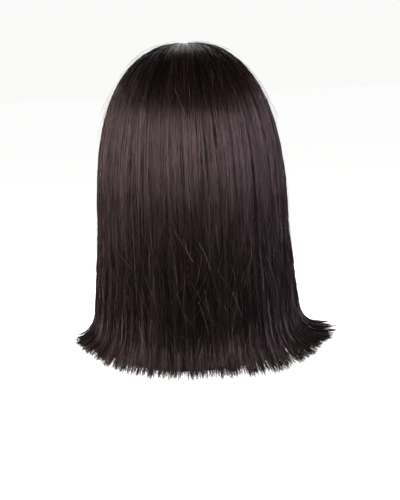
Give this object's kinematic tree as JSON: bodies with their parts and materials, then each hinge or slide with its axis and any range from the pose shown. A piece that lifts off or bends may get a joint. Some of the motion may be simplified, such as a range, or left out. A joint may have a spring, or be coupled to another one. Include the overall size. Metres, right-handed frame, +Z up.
{
  "type": "bob wig",
  "caption": "Shoulder-length straight bob wig with a centre parting, on a thin cap, with its cut ends flipped out at the sides.",
  "frame": {"origin": "where the top of the head meets the inside of the cap, on the wig's middle plane", "axes": "+Z up as worn, the face opening towards -Y, +X to the wearer's left"},
  "size_m": [0.2546, 0.1947, 0.318],
  "materials": {
    "hair": "glossy straight hair, brown-black, combed down from the parting",
    "under_hair": "the same hair in shade, at the nape",
    "cap_net": "matt black stretch net with sewn wefts",
    "parting_lace": "fine skin-toned lace along the parting"
  },
  "bodies": {
    "root": {"back_hair": "hair", "right_hair": "hair", "left_hair": "hair", "nape_hair": "under_hair", "cap": "cap_net", "parting_lace": "parting_lace"}
  },
  "joints": []
}
